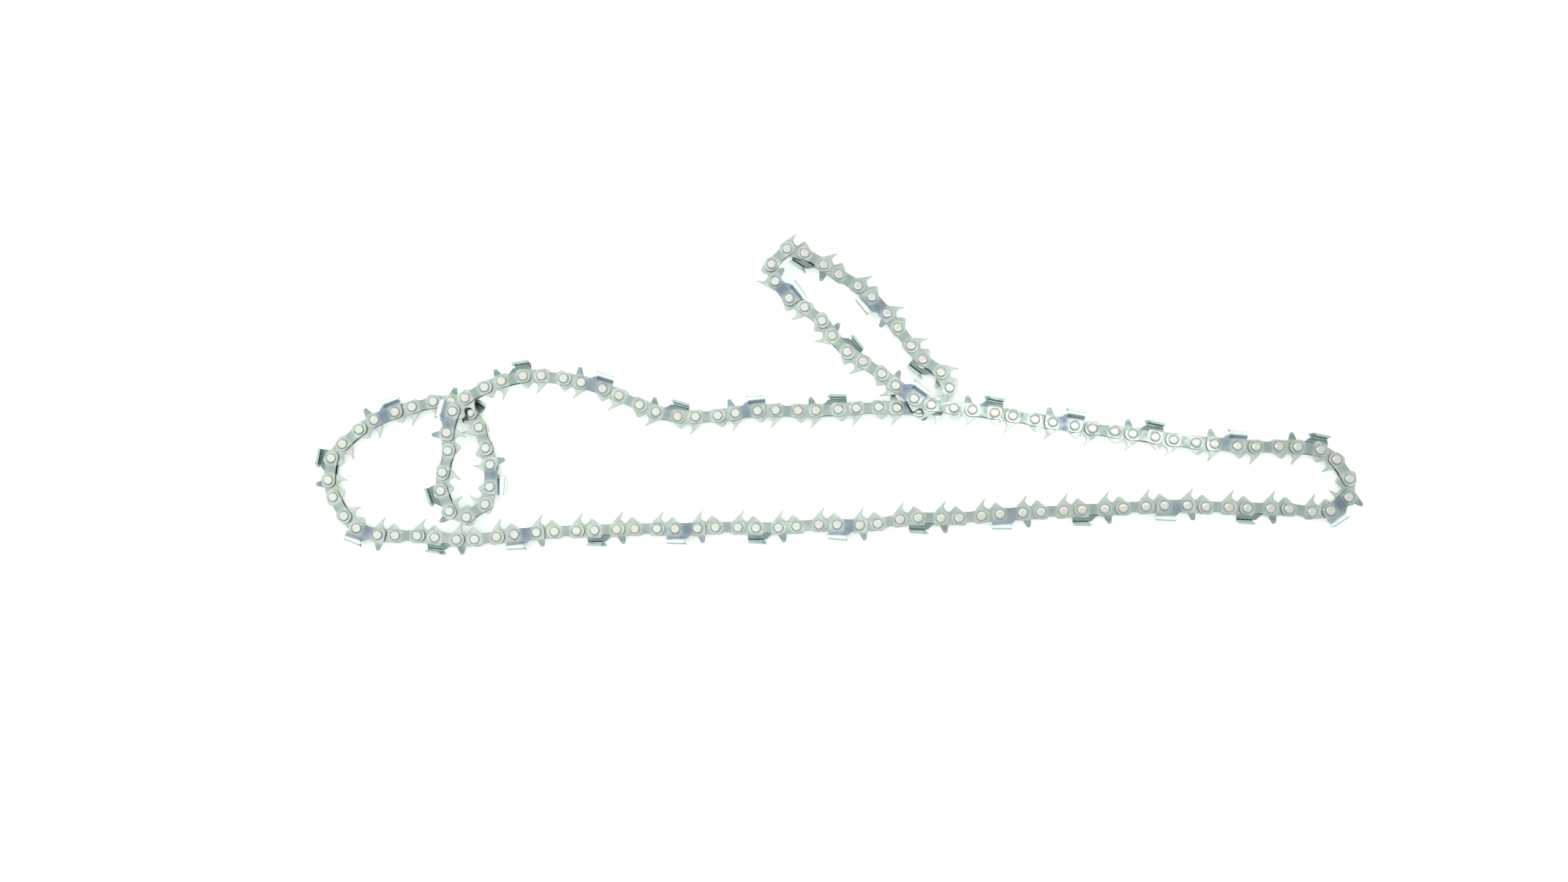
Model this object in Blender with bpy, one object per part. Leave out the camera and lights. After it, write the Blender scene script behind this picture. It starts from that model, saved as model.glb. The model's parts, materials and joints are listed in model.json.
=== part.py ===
"""Closed loop of full-complement saw chain lying flat on its side.

72 drive links, 36 cutters (left and right hand in turn), 36 pairs of tie
straps and 144 rivets.  The loop lies in plan as a long bight with two
self-crossing curls: a long tilted one near the middle and a short upright one
near the left end.  Metres, +Z up.  +X runs along the length of the lay, and
the cutters travel counter-clockwise seen from above.
"""
import math

import bmesh
import bpy
import numpy as np
from mathutils import Matrix, Vector

# ---------------------------------------------------------------- dimensions
MM = 0.001
DRIVE_PITCH = 8.55        # rivet spacing in a drive link, mm
STRAP_PITCH = 10.50       # rivet spacing in a tie strap or cutter, mm
UNITS = 36                # cutter pitches in the loop
GAUGE = 1.50              # drive link thickness
PLY_IN, PLY_OUT = 1.05, 2.20      # inner and outer faces of the side plates
PLY_FUSED = 0.55          # inner face where a plate is pressed tight
LOBE = 3.70               # end radius of the side plates
HUB_R = 2.10              # rivet barrel, runs in the drive link
HOLE_R = 2.45             # drive link hole
SHANK_R = 1.45            # reduced rivet end, in the side plates
SHANK_HOLE_R = 1.78       # side plate hole
HEAD_R = 2.40             # peened rivet head
HEAD_IN, HEAD_OUT = 2.52, 2.90
KERF = 3.70               # half width over the cutter's working corner
RIDE = KERF               # height of the chain's middle plane above the table
LIFT_TILTED = 6.6         # rise of the upper strand at the tilted curl
LIFT_SMALL = 5.6          # rise of the upper strand at the small curl
ROUND = 8                 # sides of a pin or hole

# Plan scale and the slight tilt of the view that the plan was read from
PLAN_MM = 0.34554         # mm to one plan unit
PLAN_MID = (1150.0, 560.0)
PLAN_TILT = (2.0e-5, 5.0e-5)
BEND_EVEN = 4.0           # mm, how far the fit favours an even bend

# Rivet centres in plan units (x right, y down), one row to a cutter pitch:
# cutter rear, cutter front, tie strap rear, tie strap front.
LAY = [
    # bottom run, left to right
    [(488, 724), (514, 732), (538, 732), (570, 732)],
    [(595, 737), (626, 740), (651, 740), (681, 735)],
    [(705, 732), (737, 729), (761, 728), (792, 727)],
    [(816, 726.5), (848, 725), (872, 724.5), (900, 724)],
    [(925, 724), (956, 723.5), (981, 723), (1011, 723)],
    [(1036, 722.5), (1067, 722), (1091, 721.5), (1121, 720)],
    [(1145, 718.5), (1177, 717), (1202, 715.5), (1229, 713.5)],
    [(1254, 712), (1286, 709.5), (1311, 708), (1341, 706)],
    [(1365, 705), (1397, 703), (1422, 701.5), (1452, 700)],
    [(1476, 698.5), (1508, 697), (1534, 696), (1564, 694.5)],
    [(1589, 693.5), (1621, 693.5), (1647, 694), (1677, 694.5)],
    [(1703, 695), (1736, 696), (1762, 697.5), (1791, 698.5)],
    # right-hand turn
    [(1817, 697.5), (1843, 682), (1841, 657), (1824, 633)],
    # top run, right to left
    [(1806, 613), (1774, 611), (1748, 613), (1717, 613)],
    [(1692, 611), (1659, 608), (1634, 605), (1604, 602)],
    [(1578, 598), (1548, 593.5), (1521, 590.5), (1492, 586.5)],
    [(1465, 583), (1435, 578.5), (1411, 575), (1382, 570.5)],
    [(1358, 567), (1326, 562.5), (1301, 559), (1272, 556)],
    # tilted curl, up its left strand and down its right strand
    [(1248, 548), (1223, 530), (1205, 512), (1183, 498)],
    [(1163, 482), (1138, 463), (1124, 444), (1101, 424)],
    [(1081, 407), (1064, 386), (1057, 362), (1078, 344)],
    [(1099, 358), (1126, 367), (1147, 378), (1176, 390)],
    [(1195, 406), (1213, 429), (1227, 448), (1243, 474)],
    [(1255, 497), (1279, 509), (1293, 528), (1281, 551)],
    # middle run, right to left
    [(1256, 555), (1225, 557), (1200, 558), (1170, 559)],
    [(1145, 560), (1115, 562), (1091, 562), (1061, 562)],
    [(1036, 562), (1006, 565), (982, 568), (952, 569)],
    [(928, 569), (899, 563), (878, 554), (850, 543)],
    [(827, 533), (797, 525), (774, 520), (744, 517)],
    [(719, 516), (690, 525), (668, 535), (644, 548)],
    # small curl, down its left strand and up its right strand
    [(628, 563), (619, 592), (617, 617), (612, 647)],
    [(609, 671), (620, 700), (641, 711), (664, 691)],
    [(676, 667), (672, 637), (662, 614), (655, 584)],
    # left end
    [(644, 564), (620, 549), (596, 549), (566, 560)],
    [(541, 563), (512, 574), (492, 589), (474, 612)],
    [(451, 626), (454, 656), (459, 681), (475, 706)],
]

# Groups of four rivets that swing two parallel strands together: the chord
# from the first to the second equals the chord from the fourth to the third.
SWINGS = {
    "middle_outer": (17, 19, 106, 108),
    "middle": (21, 25, 101, 105),
    "middle_inner": (27, 30, 97, 100),
    "lower_link_rear": (41, 42, 57, 58),
    "lower_link_front": (43, 44, 55, 56),
    "nose": (45, 47, 52, 54),
    "tilted_curl": (75, 81, 85, 91),
    "small_curl": (121, 123, 127, 129),
    "left_end": (130, 132, 141, 143),
}

# Lengths of chain, each between two rivets that it turns on or ends at.
SECTIONS = [
    ("bottom_run_a", 5, 9), ("bottom_run_b", 9, 13), ("bottom_run_c", 13, 17),
    ("bottom_run_d", 17, 19), ("bottom_run_e", 19, 21), ("bottom_run_f", 21, 25),
    ("bottom_run_g", 25, 27), ("bottom_run_h", 27, 30), ("bottom_run_i", 30, 34),
    ("bottom_run_j", 34, 38), ("bottom_run_k", 38, 41),
    ("bottom_run_l", 45, 47), ("nose_turn", 47, 52), ("top_run_a", 52, 54),
    ("top_run_b", 58, 62), ("top_run_c", 62, 66), ("top_run_d", 66, 70),
    ("top_run_e", 70, 75), ("tilted_curl_left", 75, 81), ("tilted_curl_tip", 81, 85),
    ("tilted_curl_right", 85, 91), ("tilted_curl_exit", 91, 97),
    ("middle_run_a", 97, 100), ("middle_cutter_link", 100, 101),
    ("middle_run_b", 101, 105), ("middle_drive_link", 105, 106),
    ("middle_run_c", 106, 108), ("middle_run_d", 108, 112),
    ("middle_run_e", 112, 116), ("middle_run_f", 116, 121),
    ("small_curl_left", 121, 123), ("small_curl_bottom", 123, 127),
    ("small_curl_right", 127, 129), ("small_curl_drive_link", 129, 130),
    ("small_curl_exit", 130, 132), ("left_run_a", 132, 136), ("left_run_b", 136, 141),
    ("left_turn", 141, 143), ("left_foot", 143, 149),
]
# Links built from their separate pieces: first rivet, prefix.
LOOSE_LINKS = [
    (41, "lower_rear"), (42, "lower_tie"), (43, "lower_front"), (44, "lower_cutter"),
    (54, "upper_tie"), (55, "upper_front"), (56, "upper_cutter"), (57, "upper_rear"),
]

# Outlines in a link's own plane, mm: x forward from the rear rivet, y towards
# the tang side.
DRIVE_OUTLINE = [
    (-3.9, 0.6), (-2.3, -3.3), (1.4, -3.7), (7.2, -3.7), (10.9, -3.3), (12.4, 0.6),
    (7.0, 5.5), (4.0, 2.9), (1.6, 4.9), (3.0, 9.0), (-1.7, 4.0),
]
STRAP_OUTLINE = [
    (-3.6, -1.6), (-1.5, -3.6), (12.0, -3.6), (14.1, -1.6),
    (14.1, 1.6), (12.0, 3.6), (-1.5, 3.6), (-3.6, 1.6),
]
CUTTER_OUTLINE = [
    (-3.7, 1.6), (-3.9, -5.7), (4.2, -6.0), (6.0, -3.7), (9.6, -3.6), (12.2, -7.0),
    (13.4, -6.8), (14.1, 1.6), (12.0, 3.6), (-1.5, 3.6),
]
# Flared side plate and top plate of a cutter: across the chain (height over
# the rivet line, distance from the middle plane), swept along it.
TOP_PLATE_SECTION = [
    (3.0, 1.20), (3.0, 2.10), (5.9, KERF), (7.8, KERF), (7.8, -1.3), (6.4, -1.3), (6.2, 1.2),
]
TOP_PLATE_X = (-4.1, 4.6)

RIVETS = 4 * UNITS


# -------------------------------------------------------------------- layout
def rise(i):
    """Height of rivet i over the flat lay, mm: each curl climbs ahead of its
    crossing and settles slowly round the curl."""
    def ease(a, b):
        t = min(max((i - a) / (b - a), 0.0), 1.0)
        return t * t * (3.0 - 2.0 * t)
    return (LIFT_TILTED * (ease(61, 70) - ease(75, 93))
            + LIFT_SMALL * (ease(107, 117) - ease(122, 132)))


def lay_chain():
    """Rivet centres, mm: the plan of the lay fitted with links of the exact
    pitch, closed, with each swing's two chords equal."""
    q = np.array([p for row in LAY for p in row], float) - np.array(PLAN_MID)
    q = q / (1.0 + q @ np.array(PLAN_TILT))[:, None] * PLAN_MM
    q[:, 1] *= -1.0
    n = RIVETS
    z = np.array([rise(i) for i in range(n)])
    pitch = np.where(np.arange(n) % 2 == 0, STRAP_PITCH, DRIVE_PITCH)
    flat = np.sqrt(pitch ** 2 - (np.roll(z, -1) - z) ** 2)
    shape = np.zeros((n, n))         # change of bend from joint to joint
    for i in range(n):
        for k, w in ((i, 1.0), (i - 1, -2.0), (i - 2, 1.0)):
            shape[i, (k + 1) % n] += w / pitch[k % n]
            shape[i, k % n] -= w / pitch[k % n]
    h1 = np.eye(n) + BEND_EVEN ** 2 * shape.T @ shape
    hess = np.kron(h1, np.eye(2))
    aim = q.reshape(-1)
    p = q.copy()
    for _ in range(60):
        step = np.roll(p, -1, 0) - p
        rows, miss = [], []
        for i in range(n):
            row = np.zeros((n, 2))
            row[(i + 1) % n] += 2 * step[i]
            row[i] -= 2 * step[i]
            rows.append(row.reshape(-1))
            miss.append(step[i] @ step[i] - flat[i] ** 2)
        for a, b, c, d in SWINGS.values():
            for axis in (0, 1):
                row = np.zeros((n, 2))
                row[b, axis] += 1
                row[a, axis] -= 1
                row[c, axis] -= 1
                row[d, axis] += 1
                rows.append(row.reshape(-1))
                miss.append(row.reshape(-1) @ p.reshape(-1))
        rows, miss = np.array(rows), np.array(miss)
        m = len(miss)
        grad = hess @ p.reshape(-1) - aim
        kkt = np.block([[hess, rows.T], [rows, np.zeros((m, m))]])
        move = np.linalg.solve(kkt, -np.concatenate([grad, miss]))[:2 * n]
        p = p + move.reshape(n, 2)
        if np.abs(move).max() < 1e-10:
            break
    return np.column_stack([p, z + RIDE])


def link_frame(rivets, i):
    """Frame of link i: origin on its rear rivet, x to its front rivet, y to
    the tang side, z out of its plates."""
    a, b = Vector(rivets[i % RIVETS]), Vector(rivets[(i + 1) % RIVETS])
    x = (b - a).normalized()
    y = Vector((-x.y, x.x, 0.0)).normalized()
    z = x.cross(y)
    m = Matrix((x, y, z)).transposed().to_4x4()
    m.translation = a
    return m


# ------------------------------------------------------------------ stampings
def ring(x, y, r, sides=ROUND):
    return [(x + r * math.cos(2 * math.pi * (k + 0.5) / sides),
             y + r * math.sin(2 * math.pi * (k + 0.5) / sides)) for k in range(sides)]


def plate(outlines, low, high):
    """Flat stamping from closed outlines (the first is the edge, the others
    are holes) between two levels, in mm."""
    curve = bpy.data.curves.new("outline", "CURVE")
    curve.dimensions = "2D"
    curve.fill_mode = "BOTH"
    curve.extrude = (high - low) / 2
    for pts in outlines:
        spline = curve.splines.new("POLY")
        spline.points.add(len(pts) - 1)
        for point, (x, y) in zip(spline.points, pts):
            point.co = (x, y, 0.0, 1.0)
        spline.use_cyclic_u = True
    ob = bpy.data.objects.new("outline", curve)
    bpy.context.scene.collection.objects.link(ob)
    graph = bpy.context.evaluated_depsgraph_get()
    mesh = bpy.data.meshes.new_from_object(ob.evaluated_get(graph))
    bpy.data.objects.remove(ob)
    bpy.data.curves.remove(curve)
    bm = bmesh.new()
    bm.from_mesh(mesh)
    bpy.data.meshes.remove(mesh)
    bmesh.ops.remove_doubles(bm, verts=bm.verts, dist=1e-5)
    bmesh.ops.translate(bm, verts=bm.verts, vec=(0, 0, (low + high) / 2))
    bmesh.ops.recalc_face_normals(bm, faces=bm.faces)
    if len(outlines) == 1:
        bmesh.ops.dissolve_limit(bm, angle_limit=0.001, verts=bm.verts, edges=bm.edges)
    return bm


def pin(x, r, low, high, sides=ROUND):
    """Round pin along z at distance x from the rear rivet, mm."""
    bm = bmesh.new()
    turn = Matrix.Translation((x, 0, (low + high) / 2)) @ Matrix.Rotation(math.pi / sides, 4, "Z")
    bmesh.ops.create_cone(bm, cap_ends=True, segments=sides, radius1=r, radius2=r,
                          depth=high - low, matrix=turn)
    return bm


def swept_top_plate(side):
    """Flare and top plate of a cutter, mm; side +1 has its side plate up."""
    bm = plate([TOP_PLATE_SECTION], *TOP_PLATE_X)
    # section plane (height, out) -> (-y, z), sweep -> x
    m = Matrix(((0, 0, 1, 0), (-1, 0, 0, 0), (0, side, 0, 0), (0, 0, 0, 1)))
    bmesh.ops.transform(bm, matrix=m, verts=bm.verts)
    bmesh.ops.recalc_face_normals(bm, faces=bm.faces)
    return bm


def span(side, low, high):
    return (low, high) if side > 0 else (-high, -low)


class Shop:
    """Keeps the loop's collections and builds solids out of stampings."""

    def __init__(self):
        scene = bpy.context.scene
        self.parts = bpy.data.collections.new("saw_chain_loop")
        self.cutters = bpy.data.collections.new("saw_chain_loop_joining")
        scene.collection.children.link(self.parts)
        scene.collection.children.link(self.cutters)

    def solid(self, name, pieces, origin, colour, roughness):
        """One closed solid from (bmesh in mm, frame) pieces, origin on the
        pivot that it turns on."""
        meshes = []
        shift = Matrix.Scale(MM, 4) @ Matrix.Translation(-Vector(origin))
        for bm, frame in pieces:
            work = bm.copy()
            bmesh.ops.transform(work, matrix=shift @ frame, verts=work.verts)
            mesh = bpy.data.meshes.new(name)
            work.to_mesh(mesh)
            work.free()
            meshes.append(mesh)
        ob = bpy.data.objects.new(name, meshes[0])
        self.parts.objects.link(ob)
        if len(meshes) > 1:
            group = bpy.data.collections.new(name + "_joined")
            self.cutters.children.link(group)
            helpers = []
            for mesh in meshes[1:]:
                helper = bpy.data.objects.new(name + "_piece", mesh)
                helper.hide_render = True
                helper.display_type = "WIRE"
                group.objects.link(helper)
                helpers.append(helper)
            joined = ob.modifiers.new("joined", "BOOLEAN")
            joined.operation = "UNION"
            joined.solver = "MANIFOLD"
            joined.operand_type = "COLLECTION"
            joined.collection = group
            graph = bpy.context.evaluated_depsgraph_get()
            whole = bpy.data.meshes.new_from_object(ob.evaluated_get(graph))
            ob.modifiers.clear()
            ob.data = whole
            for helper in helpers:
                bpy.data.objects.remove(helper)
            bpy.data.collections.remove(group)
            bm = bmesh.new()
            bm.from_mesh(whole)
            bmesh.ops.remove_doubles(bm, verts=bm.verts, dist=1e-7)
            bmesh.ops.dissolve_degenerate(bm, edges=bm.edges, dist=1e-7)
            bm.to_mesh(whole)
            bm.free()
        ob.data.name = name
        ob.data.shade_smooth()
        ob.data.set_sharp_from_angle(angle=math.radians(30))
        mat = bpy.data.materials.new(name + "_steel")
        mat.use_nodes = True
        bsdf = mat.node_tree.nodes["Principled BSDF"]
        bsdf.inputs["Base Color"].default_value = (*colour, 1.0)
        bsdf.inputs["Metallic"].default_value = 1.0
        bsdf.inputs["Roughness"].default_value = roughness
        ob.data.materials.clear()
        ob.data.materials.append(mat)
        ob.location = Vector(origin) * MM
        return ob


STEEL = (0.42, 0.46, 0.43)
BRIGHT = (0.62, 0.64, 0.60)
CHROME = (0.50, 0.55, 0.53)


def hand(i):
    """Side of the cutter in link i: +1 has its side plate uppermost."""
    return 1 if (i % RIVETS // 4) % 2 == 0 else -1


def is_drive(i):
    return i % 2 == 1


def drive_link(rear_hole, front_hole):
    outlines = [DRIVE_OUTLINE]
    if rear_hole:
        outlines.append(ring(0.0, 0.0, HOLE_R))
    if front_hole:
        outlines.append(ring(DRIVE_PITCH, 0.0, HOLE_R))
    return plate(outlines, -GAUGE / 2, GAUGE / 2)


def section_pieces(rivets, first, last):
    """Stampings and pins of one length of chain between two rivets."""
    out = []
    for i in range(first, last):
        frame = link_frame(rivets, i)
        if is_drive(i):
            out.append((drive_link(i == first, i + 1 == last), frame))
            continue
        free_end = i == first or i + 1 == last
        low = PLY_IN if free_end else PLY_FUSED
        if i % 4 == 0:
            side = hand(i)
            out.append((plate([CUTTER_OUTLINE], *span(side, low, PLY_OUT)), frame))
            out.append((swept_top_plate(side), frame))
            out.append((plate([STRAP_OUTLINE], *span(-side, low, PLY_OUT)), frame))
        else:
            for side in (1, -1):
                out.append((plate([STRAP_OUTLINE], *span(side, low, PLY_OUT)), frame))
        if free_end:
            for x, turns in ((0.0, i == first), (STRAP_PITCH, i + 1 == last)):
                sides = ROUND if turns else 4
                out.append((pin(x, HUB_R, -1.7, 1.7, sides), frame))
    return out


def rivet_pieces(x):
    return [pin(x, HUB_R, -0.93, 0.93), pin(x, SHANK_R, -2.7, 2.7),
            pin(x, HEAD_R, HEAD_IN, HEAD_OUT), pin(x, HEAD_R, -HEAD_OUT, -HEAD_IN)]


def main():
    for ob in list(bpy.data.objects):
        bpy.data.objects.remove(ob)
    rivets = lay_chain()
    shop = Shop()
    hinges = sorted(r for group in SWINGS.values() for r in group)

    def pivot_of(first):
        """Rivet that the length starting at rivet first turns on."""
        below = [h for h in hinges if h <= first]
        return rivets[max(below)] if below and first >= min(hinges) else rivets[5]

    objects = []
    for name, first, last in SECTIONS:
        pieces = section_pieces(rivets, first, last)
        objects.append(shop.solid(name, pieces, pivot_of(first), STEEL, 0.36))

    holes = [ring(0.0, 0.0, SHANK_HOLE_R), ring(STRAP_PITCH, 0.0, SHANK_HOLE_R)]
    for i, prefix in LOOSE_LINKS:
        frame, origin = link_frame(rivets, i), pivot_of(i)
        if is_drive(i):
            objects.append(shop.solid(prefix + "_drive_link",
                                      [(drive_link(True, True), frame)], origin, STEEL, 0.34))
            continue
        if i % 4 == 0:
            side = hand(i)
            objects.append(shop.solid(prefix, [
                (plate([CUTTER_OUTLINE] + holes, *span(side, PLY_IN, PLY_OUT)), frame),
                (swept_top_plate(side), frame)], origin, CHROME, 0.22))
            objects.append(shop.solid(prefix + "_tie_strap", [
                (plate([STRAP_OUTLINE] + holes, *span(-side, PLY_IN, PLY_OUT)), frame)],
                origin, STEEL, 0.34))
        else:
            for side, word in ((1, "_strap_top"), (-1, "_strap_under")):
                objects.append(shop.solid(prefix + word, [
                    (plate([STRAP_OUTLINE] + holes, *span(side, PLY_IN, PLY_OUT)), frame)],
                    origin, STEEL, 0.34))
        for x, word in ((0.0, "_rivet_rear"), (STRAP_PITCH, "_rivet_front")):
            objects.append(shop.solid(prefix + word,
                                      [(bm, frame) for bm in rivet_pieces(x)],
                                      origin, BRIGHT, 0.28))

    # Origin under the middle of the lay, on the table.
    low, high = Vector((1e9,) * 3), Vector((-1e9,) * 3)
    for ob in objects:
        for v in ob.data.vertices:
            w = ob.location + v.co
            low = Vector(map(min, low, w))
            high = Vector(map(max, high, w))
    middle = Vector(((low.x + high.x) / 2, (low.y + high.y) / 2, low.z))

    # One empty to a pivot, each carried by the one before it along the chain.
    empties = {}
    before, base = None, Vector((0, 0, 0))
    for h in [5] + hinges:
        e = bpy.data.objects.new("pivot_%03d" % h, None)
        e.empty_display_size = 0.004
        shop.cutters.objects.link(e)
        here = Vector(rivets[h]) * MM - middle
        e.parent = before
        e.location = here - base
        before, base = e, here
        empties[h] = (e, here)
    starts = {name: first for name, first, _ in SECTIONS}
    for ob in objects:
        first = starts.get(ob.name)
        if first is None:
            first = [i for i, prefix in LOOSE_LINKS if ob.name.startswith(prefix)][0]
        below = [h for h in hinges if h <= first]
        e, here = empties[max(below) if below else 5]
        ob.location = ob.location - middle - here
        ob.parent = e
    bpy.context.view_layer.update()
    return rivets, middle


main()
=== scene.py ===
import json
import math
import random

import bmesh
import bpy
import numpy as np
from mathutils import Matrix, Vector


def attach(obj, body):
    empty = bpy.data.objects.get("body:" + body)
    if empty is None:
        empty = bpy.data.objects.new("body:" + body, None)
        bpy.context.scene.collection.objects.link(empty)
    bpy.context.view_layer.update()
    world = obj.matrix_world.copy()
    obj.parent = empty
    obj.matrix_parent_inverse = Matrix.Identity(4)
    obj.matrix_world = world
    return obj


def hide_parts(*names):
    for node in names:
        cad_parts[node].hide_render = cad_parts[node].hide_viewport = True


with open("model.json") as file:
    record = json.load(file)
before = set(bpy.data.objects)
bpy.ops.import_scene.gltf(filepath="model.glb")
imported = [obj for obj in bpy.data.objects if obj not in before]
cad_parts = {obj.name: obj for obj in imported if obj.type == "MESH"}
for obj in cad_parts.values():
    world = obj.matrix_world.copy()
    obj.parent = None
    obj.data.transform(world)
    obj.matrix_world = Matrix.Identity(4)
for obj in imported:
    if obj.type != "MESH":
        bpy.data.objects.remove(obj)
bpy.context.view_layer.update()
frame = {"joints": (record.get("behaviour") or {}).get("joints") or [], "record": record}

# ---------------------------------------------------------------- dimensions
# The same chain and the same lay as the CAD model, in mm.
MM = 0.001
DRIVE_PITCH = 8.55
STRAP_PITCH = 10.50
UNITS = 36
RIVETS = 4 * UNITS
KERF = 3.70
RIDE = KERF
LIFT_TILTED = 6.6
LIFT_SMALL = 5.6
GAUGE = 1.50                      # drive link thickness
PLY_IN, PLY_OUT = 1.05, 2.20      # faces of the side plates
EDGE = 0.13                       # rounding of the stamped edges
HUB_R, HUB_HOLE = 2.05, 2.18      # rivet barrel and the drive link's hole
SHANK_R, SHANK_HOLE = 1.45, 1.49  # rivet shank and the side plate's hole
TOP_H = 7.80                      # cutter's top plate over the rivet line
PLATE_T = 1.22                    # cutter's plate thickness above the flare

PLAN_MM = 0.34554
PLAN_MID = (1150.0, 560.0)
PLAN_TILT = (2.0e-5, 5.0e-5)
BEND_EVEN = 4.0

LAY = [
    # bottom run, left to right
    [(488, 724), (514, 732), (538, 732), (570, 732)],
    [(595, 737), (626, 740), (651, 740), (681, 735)],
    [(705, 732), (737, 729), (761, 728), (792, 727)],
    [(816, 726.5), (848, 725), (872, 724.5), (900, 724)],
    [(925, 724), (956, 723.5), (981, 723), (1011, 723)],
    [(1036, 722.5), (1067, 722), (1091, 721.5), (1121, 720)],
    [(1145, 718.5), (1177, 717), (1202, 715.5), (1229, 713.5)],
    [(1254, 712), (1286, 709.5), (1311, 708), (1341, 706)],
    [(1365, 705), (1397, 703), (1422, 701.5), (1452, 700)],
    [(1476, 698.5), (1508, 697), (1534, 696), (1564, 694.5)],
    [(1589, 693.5), (1621, 693.5), (1647, 694), (1677, 694.5)],
    [(1703, 695), (1736, 696), (1762, 697.5), (1791, 698.5)],
    # right-hand turn
    [(1817, 697.5), (1843, 682), (1841, 657), (1824, 633)],
    # top run, right to left
    [(1806, 613), (1774, 611), (1748, 613), (1717, 613)],
    [(1692, 611), (1659, 608), (1634, 605), (1604, 602)],
    [(1578, 598), (1548, 593.5), (1521, 590.5), (1492, 586.5)],
    [(1465, 583), (1435, 578.5), (1411, 575), (1382, 570.5)],
    [(1358, 567), (1326, 562.5), (1301, 559), (1272, 556)],
    # tilted curl, up its left strand and down its right strand
    [(1248, 548), (1223, 530), (1205, 512), (1183, 498)],
    [(1163, 482), (1138, 463), (1124, 444), (1101, 424)],
    [(1081, 407), (1064, 386), (1057, 362), (1078, 344)],
    [(1099, 358), (1126, 367), (1147, 378), (1176, 390)],
    [(1195, 406), (1213, 429), (1227, 448), (1243, 474)],
    [(1255, 497), (1279, 509), (1293, 528), (1281, 551)],
    # middle run, right to left
    [(1256, 555), (1225, 557), (1200, 558), (1170, 559)],
    [(1145, 560), (1115, 562), (1091, 562), (1061, 562)],
    [(1036, 562), (1006, 565), (982, 568), (952, 569)],
    [(928, 569), (899, 563), (878, 554), (850, 543)],
    [(827, 533), (797, 525), (774, 520), (744, 517)],
    [(719, 516), (690, 525), (668, 535), (644, 548)],
    # small curl, down its left strand and up its right strand
    [(628, 563), (619, 592), (617, 617), (612, 647)],
    [(609, 671), (620, 700), (641, 711), (664, 691)],
    [(676, 667), (672, 637), (662, 614), (655, 584)],
    # left end
    [(644, 564), (620, 549), (596, 549), (566, 560)],
    [(541, 563), (512, 574), (492, 589), (474, 612)],
    [(451, 626), (454, 656), (459, 681), (475, 706)],
]
SWINGS = {
    "middle_outer": (17, 19, 106, 108),
    "middle": (21, 25, 101, 105),
    "middle_inner": (27, 30, 97, 100),
    "lower_link_rear": (41, 42, 57, 58),
    "lower_link_front": (43, 44, 55, 56),
    "nose": (45, 47, 52, 54),
    "tilted_curl": (75, 81, 85, 91),
    "small_curl": (121, 123, 127, 129),
    "left_end": (130, 132, 141, 143),
}
SECTIONS = [
    ("bottom_run_a", 5, 9), ("bottom_run_b", 9, 13), ("bottom_run_c", 13, 17),
    ("bottom_run_d", 17, 19), ("bottom_run_e", 19, 21), ("bottom_run_f", 21, 25),
    ("bottom_run_g", 25, 27), ("bottom_run_h", 27, 30), ("bottom_run_i", 30, 34),
    ("bottom_run_j", 34, 38), ("bottom_run_k", 38, 41),
    ("bottom_run_l", 45, 47), ("nose_turn", 47, 52), ("top_run_a", 52, 54),
    ("top_run_b", 58, 62), ("top_run_c", 62, 66), ("top_run_d", 66, 70),
    ("top_run_e", 70, 75), ("tilted_curl_left", 75, 81), ("tilted_curl_tip", 81, 85),
    ("tilted_curl_right", 85, 91), ("tilted_curl_exit", 91, 97),
    ("middle_run_a", 97, 100), ("middle_cutter_link", 100, 101),
    ("middle_run_b", 101, 105), ("middle_drive_link", 105, 106),
    ("middle_run_c", 106, 108), ("middle_run_d", 108, 112),
    ("middle_run_e", 112, 116), ("middle_run_f", 116, 121),
    ("small_curl_left", 121, 123), ("small_curl_bottom", 123, 127),
    ("small_curl_right", 127, 129), ("small_curl_drive_link", 129, 130),
    ("small_curl_exit", 130, 132), ("left_run_a", 132, 136), ("left_run_b", 136, 141),
    ("left_turn", 141, 143), ("left_foot", 143, 149),
]
LOOSE_LINKS = [
    (41, "lower_rear"), (42, "lower_tie"), (43, "lower_front"), (44, "lower_cutter"),
    (54, "upper_tie"), (55, "upper_front"), (56, "upper_cutter"), (57, "upper_rear"),
]


# -------------------------------------------------------------------- layout
def rise(i):
    def ease(a, b):
        t = min(max((i - a) / (b - a), 0.0), 1.0)
        return t * t * (3.0 - 2.0 * t)
    return (LIFT_TILTED * (ease(61, 70) - ease(75, 93))
            + LIFT_SMALL * (ease(107, 117) - ease(122, 132)))


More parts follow.
